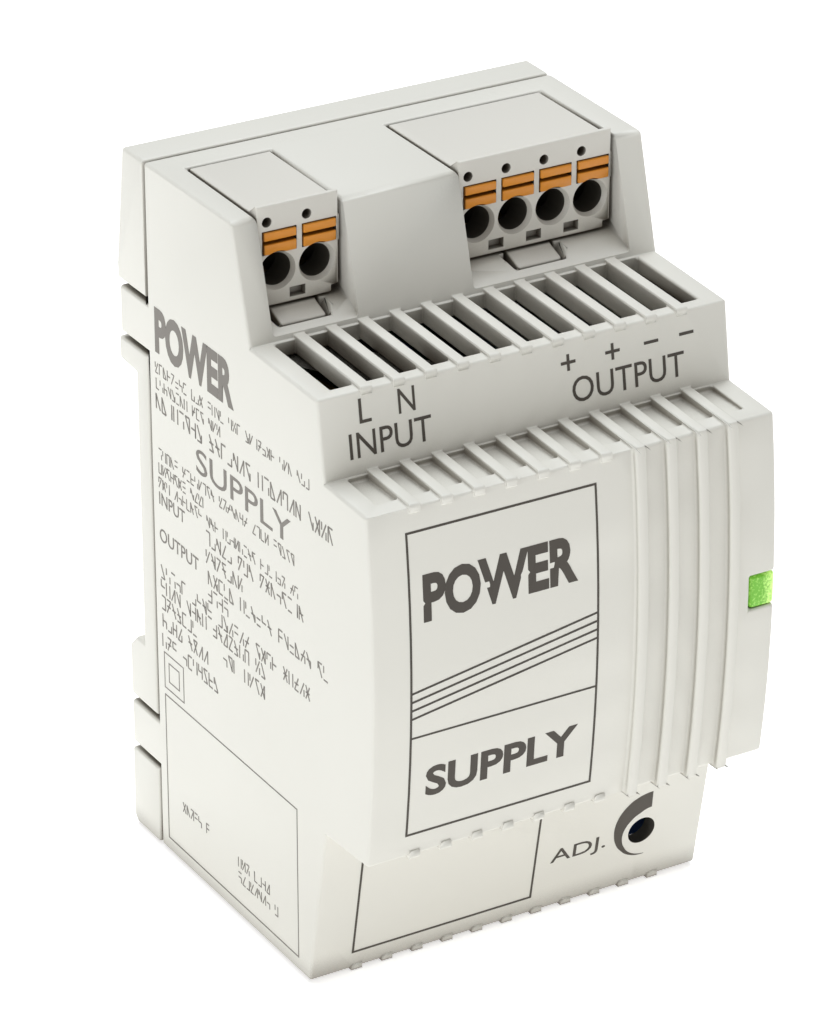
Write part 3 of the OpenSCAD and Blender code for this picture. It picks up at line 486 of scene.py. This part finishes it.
def lettering(text, left, right, low, high, weight=0.0, slant=0.0):
    """A word as flat faces, stretched to fill the given box."""
    curve = bpy.data.curves.new("lettering", "FONT")
    curve.body, curve.offset, curve.shear, curve.resolution_u = text, weight, slant, 4
    obj = bpy.data.objects.new("lettering", curve)
    bpy.context.scene.collection.objects.link(obj)
    mesh = bpy.data.meshes.new_from_object(obj.evaluated_get(bpy.context.evaluated_depsgraph_get()))
    points = np.empty(len(mesh.vertices) * 3)
    mesh.vertices.foreach_get("co", points)
    points = points.reshape(-1, 3)[:, :2]
    faces = [list(p.vertices) for p in mesh.polygons]
    span = np.ptp(points, axis=0)
    points = (points - points.min(axis=0)) / span * [right - left, high - low] + [left, low]
    bpy.data.objects.remove(obj)
    bpy.data.curves.remove(curve)
    bpy.data.meshes.remove(mesh)
    return points, faces


def printed(name, parts, lay, material):
    """Joins flat parts into one film on the case: laid on, then thickened outwards."""
    count, points, faces = 0, [], []
    for flat, quads in parts:
        points.append(flat)
        faces += [[v + count for v in quad] for quad in quads]
        count += len(flat)
    mesh = bpy.data.meshes.new(name)
    mesh.from_pydata(lay(np.vstack(points), FILM_MM / 2).tolist(), [], faces)
    mesh.materials.append(material)
    obj = bpy.data.objects.new(name, mesh)
    bpy.context.scene.collection.objects.link(obj)
    film = obj.modifiers.new("ink_film", "SOLIDIFY")
    film.thickness = FILM_MM * MM
    film.offset = 1
    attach(obj, "housing")
    print(f"{name}: {len(parts)} parts, {len(mesh.polygons)} faces")
    return obj


# %% [markdown]
# The legends are generic words and plain shapes: what the unit is, which plug is the input and which
# is the output, the polarity of each pole, and a crescent that says which way the trimmer turns up.
# The left wall carries a block of rating print. Print that small reads only as a texture, so its
# lines are made of random strokes on a fixed lattice, and only its generic words can be read.

# %% The legends
LEFT, LOW = SHELL_LOW[0], SHELL_LOW[2] + 0.4


def at(x, z):
    """Millimetres from the case's left edge and from its bottom face."""
    return (LEFT + x, LOW + z)


def word(text, x0, x1, z0, z1, **style):
    return lettering(text, LEFT + x0, LEFT + x1, LOW + z0, LOW + z1, **style)


def ring(x0, x1, z0, z1, width):
    return ribbon(dense([at(x0, z0), at(x1, z0), at(x1, z1), at(x0, z1)], closed=True), width, closed=True)


front = [ring(5.5, 29.5, 24.9, 62.5, 0.27), ribbon(dense([at(5.6, 37.7), at(29.4, 37.7)]), 0.24)]
front += [ribbon(dense([at(5.6, 40.15 + k), at(29.4, 43.9 + k)]), 0.26) for k in (0, 1.06, 2.12, 3.18)]
front += [word("POWER", 7.2, 26.9, 51.6, 57.4, weight=0.04),
          word("SUPPLY", 7.6, 27.3, 29.5, 33.4, weight=0.03)]
printed("front_legend", front, on_front, INK)
riser = [word("L", 5.6, 7.1, 71.4, 74.2), word("N", 10.5, 12.6, 71.4, 74.2),
         word("INPUT", 4.1, 14.4, 67.6, 70.5), word("OUTPUT", 32.5, 47.3, 67.6, 70.5)]
for x, kind in ((32.2, "+"), (38.0, "+"), (43.1, "-"), (47.8, "-")):
    riser.append(ribbon([at(x - 0.95, 72.4), at(x + 0.95, 72.4)], 0.36))
    if kind == "+":
        riser += [ribbon([at(x, z0), at(x, z1)], 0.36) for z0, z1 in ((71.45, 72.22), (72.58, 73.35))]
printed("terminal_legend", riser, on_front, INK)
turn = np.linspace(78, 282, 64)
stations = [78, 107, 137, 158, 174, 195, 221, 254, 282]
outer = np.interp(turn, stations, [5.7, 5.25, 4.65, 4.2, 3.9, 3.65, 3.48, 3.6, 3.8])
inner = np.interp(turn, stations, [3.37, 2.75, 2.57, 2.6, 2.66, 2.74, 2.9, 3.35, 3.76])
middle = at(44.8, 7.6)
along = np.stack([np.cos(np.radians(turn)), np.sin(np.radians(turn))], 1)
crescent = ribbon(middle + along * ((outer + inner) / 2)[:, None], outer - inner)
low_face = [ribbon(dense([at(6.0, 20.6), at(6.0, 2.4), at(30.0, 2.4), at(30.0, 20.6)]), 0.27),
            word("ADJ.", 32.2, 39.8, 6.1, 8.6), crescent]
printed("adjuster_legend", low_face, on_front, INK)


def small_print(start, end, z, height, rng):
    """A line of print too small to read: each sign is two or three strokes of a fixed 2 by 3 lattice,
    picked at random, so it has the rhythm of lettering and says nothing."""
    lattice = [(0, 0), (1, 0), (0, 0.5), (1, 0.5), (0, 1), (1, 1)]
    strokes = [(0, 4), (1, 5), (4, 5), (2, 3), (0, 1), (0, 5), (4, 1), (2, 4), (3, 1)]
    parts, x, left = [], start, rng.integers(3, 9)
    while x < end - 0.4 * height:
        if left:
            for k in rng.choice(len(strokes), rng.integers(2, 4), replace=False):
                a, b = (lattice[i] for i in strokes[k])
                parts.append(ribbon([(x + 0.5 * height * c, LOW + z - height / 2 + height * d) for c, d in (a, b)],
                                    0.11 * height))
        x += 0.74 * height
        left = left - 1 if left else rng.integers(3, 9)
    return parts


def side_word(text, u0, u1, z0, z1, **style):
    return lettering(text, u0, u1, LOW + z0, LOW + z1, **style)


rng = np.random.default_rng(7)
ROWS = ((4.9, 40.2, 64.3, 1.3), (5.0, 20.0, 62.3, 1.3), (4.9, 45.6, 60.0, 1.9),
        (5.2, 37.2, 53.4, 1.3), (5.1, 17.9, 51.5, 1.3), (5.0, 38.2, 49.6, 1.3),
        (16.3, 38.9, 47.4, 1.7), (16.2, 25.2, 44.9, 1.7), (16.6, 44.1, 42.3, 1.7),
        (16.5, 21.0, 40.1, 1.7), (5.0, 40.0, 38.0, 1.7), (4.9, 30.5, 36.0, 1.7), (5.0, 15.3, 33.9, 1.7),
        (19.8, 29.9, 33.3, 1.7), (5.1, 17.1, 31.5, 1.7), (4.9, 19.4, 28.8, 1.7),
        (9.0, 16.0, 8.0, 1.3), (22.5, 30.5, 7.4, 1.3), (22.5, 32.5, 5.4, 1.3))
side_print = [stroke for row in ROWS for stroke in small_print(*row, rng)]
side_print += [side_word("POWER", 5.0, 23.4, 66.2, 72.0, weight=0.045), side_word("SUPPLY", 14.3, 36.0, 54.9, 58.0),
               side_word("INPUT", 5.0, 11.2, 46.8, 48.4), side_word("OUTPUT", 4.9, 14.3, 42.0, 43.7)]
for u0, z0, u1, z1, width in ((5.2, 1.9, 36.6, 21.6, 0.16), (5.2, 22.6, 9.9, 27.3, 0.14), (6.3, 23.7, 8.8, 26.2, 0.14)):
    corners = [(u0, LOW + z0), (u1, LOW + z0), (u1, LOW + z1), (u0, LOW + z1)]
    side_print.append(ribbon(dense(corners, closed=True), width, closed=True))
printed("rating_print", side_print, on_left, PALE_INK)

# %% [markdown]
# The rail foot is pushed up by a small compression spring, wound from drawn steel wire with its last
# turn at each end laid flat against its neighbour. A spring could be a curve with a bevel, but a tube
# worked out point by point gives exact ends and a closed surface. It stands on the case, and the foot
# presses on its top.

# %% The rail foot's spring
def wound(low, high, wire, turns, around=30, sides=12):
    """A closed tube along a helix that fits the box from low to high. Station s goes up one turn per
    unit, and the height is the running sum of a pitch that equals the wire's thickness in the end turns
    and is wider between them. Round the wire, the angle t moves the surface out by cos t times the
    direction away from the axis, plus sin t times the direction square to that and to the wire."""
    middle, radius = (low + high) / 2, (high[0] - low[0] - wire) / 2
    s = np.linspace(0, turns, turns * around + 1)
    shape = np.interp(s, [0.8, 1.4, turns - 1.4, turns - 0.8], [0, 1, 1, 0])
    step = s[1] - s[0]
    flat, wide = 1.03 * wire, shape[1:].sum() * step
    free = high[2] - low[2] - wire - flat * turns
    height = np.concatenate([[0], np.cumsum((flat + shape[1:] * free / wide) * step)])
    turn = 2 * np.pi * s
    out = np.stack([np.cos(turn), np.sin(turn), 0 * turn], 1)
    spine = out * radius + [middle[0], middle[1], low[2] + wire / 2] + height[:, None] * [0, 0, 1]
    ahead = np.gradient(spine, axis=0)
    beside = np.cross(ahead, out)
    beside /= np.linalg.norm(beside, axis=1)[:, None]
    t = 2 * np.pi * np.arange(sides) / sides
    points = (spine[:, None] + wire / 2 * (np.cos(t)[:, None] * out[:, None] + np.sin(t)[:, None] * beside[:, None]))
    rings, k = np.arange(len(s) - 1)[:, None] * sides, np.arange(sides)
    after = (k + 1) % sides
    faces = np.stack([rings + k, rings + after, rings + sides + after, rings + sides + k], -1).reshape(-1, 4)
    caps = [k[::-1].tolist(), (k + (len(s) - 1) * sides).tolist()]
    return points.reshape(-1, 3), faces.tolist() + caps


SPRING_WIRE, SPRING_TURNS = 0.4 * MM, 7
spring_low, spring_high = (np.array(corner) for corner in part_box("rail_foot_spring"))
points, faces = wound(spring_low, spring_high, SPRING_WIRE, SPRING_TURNS)
mesh = bpy.data.meshes.new("rail_foot_coil")
mesh.from_pydata(points.tolist(), [], faces)
mesh.materials.append(STEEL)
mesh.shade_smooth()
coil = bpy.data.objects.new("rail_foot_coil", mesh)
bpy.context.scene.collection.objects.link(coil)
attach(coil, "housing")
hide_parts("rail_foot_spring")
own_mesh(coil)

# %% [markdown]
# Inside, each part wears the finish of its maker's process: dip-coated discs, shrunk sleeves,
# sintered ferrite, tinned strip. The CAD shapes are already right here, down to the turns of wire
# on the line choke, so each one stays and only its material slot changes. The transformer's winding
# is under its tape, so it shows the fine ridges of tape over wire.

# %% Finishes of the inner parts
FINISHES = {
    SHEET: ["insulation_sheet"], STEEL: ["input_clamp_springs", "output_clamp_springs", "board_screws"],
    BRASS: ["input_contacts", "output_contacts", "input_pins", "output_pins"],
    BLACK: ["input_header", "output_header", "bridge_rectifier", "switch_transistor", "transformer_bobbin",
            "output_diode", "control_chip", "fuse"],
    LAMINATE: ["main_board", "control_board"], BLUE: ["varistor", "y_capacitor", "trimmer_body"],
    GREEN_DIP: ["inrush_thermistor"], YELLOW: ["x_capacitor"],
    FERRITE: ["line_choke_core", "transformer_core", "output_choke"],
    COPPER: ["line_choke_windings"], TAPE: ["transformer_windings"], SLEEVE: ["bulk_capacitor", "output_capacitors"],
    ALUMINIUM: ["primary_heatsink", "secondary_heatsink"], WHITE: ["optocoupler", "trimmer_rotor", "indicator_led"],
}
for finish, names in FINISHES.items():
    for name in names:
        mesh = NODES[name].data
        mesh.materials.clear()
        mesh.materials.append(finish)
print("inner parts with a finish", sum(map(len, FINISHES.values())))

# %% [markdown]
# The camera stands where a product photographer would: in front, to the left and above, far
# enough off that the verticals hardly converge. The floor is a white light table, which fills the
# faces that lean down and leaves a soft contact shadow. Two lights hang over the object, further
# back than its front, so the front steps fall off in tone, and one low light on the left makes
# the left wall the brightest.

# %% Camera, floor and light
CAMERA_AT = Vector((-243.2, -433.6, 244.64)) * MM
CAMERA_TURN = math.radians(-30.248)
CAMERA_FALL = math.radians(26.865)
camera = bpy.data.objects.new("camera", bpy.data.cameras.new("camera"))
camera.data.lens = 162.43
camera.data.sensor_width = 36
camera.data.clip_start = 0.01
camera.location = CAMERA_AT
camera.rotation_euler = (math.pi / 2 - CAMERA_FALL, 0, CAMERA_TURN)
bpy.context.scene.collection.objects.link(camera)
bpy.context.scene.camera = camera
bpy.context.scene.view_settings.view_transform = "Standard"


def plane(name, half, z):
    mesh = bpy.data.meshes.new(name)
    mesh.from_pydata([(-half, -half, z), (half, -half, z), (half, half, z), (-half, half, z)], [], [(0, 1, 2, 3)])
    obj = bpy.data.objects.new(name, mesh)
    bpy.context.scene.collection.objects.link(obj)
    return obj


floor = plane("floor", 3.0, CAD_LOW.z)
paper, paper_tree, paper_shader = start_material("paper_matt_white", Base_Color=linear("#FAFAF9"), Roughness=0.9)
floor.data.materials.append(paper)


def area_light(name, at, size, power, colour="#FFFFFF"):
    light = bpy.data.lights.new(name, "AREA")
    light.shape = "DISK"
    light.size = size
    light.energy = power
    light.color = linear(colour)[:3]
    obj = bpy.data.objects.new(name, light)
    obj.location = at
    obj.rotation_euler = (-Vector(at)).to_track_quat("-Z", "Y").to_euler()
    bpy.context.scene.collection.objects.link(obj)
    return obj


paper_shader.inputs["Emission Color"].default_value = linear("#FFFFFF")
paper_shader.inputs["Emission Strength"].default_value = 0.59
area_light("low_left", (-1.0, -0.25, 0.1), 0.4, 2.4, "#F3F9FF")
area_light("top_back", (0.35, 0.3, 1.05), 0.7, 8.1, "#F3F9FF")
area_light("top_left", (-0.2, 0.1, 1.1), 0.5, 1.6, "#F3F9FF")
world = bpy.data.worlds.new("studio")
bpy.context.scene.world = world
world.use_nodes = True
surround = world.node_tree
seen = add(surround, "ShaderNodeLightPath")
back = surround.nodes["Background"]
back.inputs["Color"].default_value = linear("#FFFFFF")
level = add(surround, "ShaderNodeMapRange", {"Value": seen.outputs["Is Camera Ray"]})
level.inputs["To Min"].default_value = 0.4
level.inputs["To Max"].default_value = 1.0
surround.links.new(level.outputs["Result"], back.inputs["Strength"])
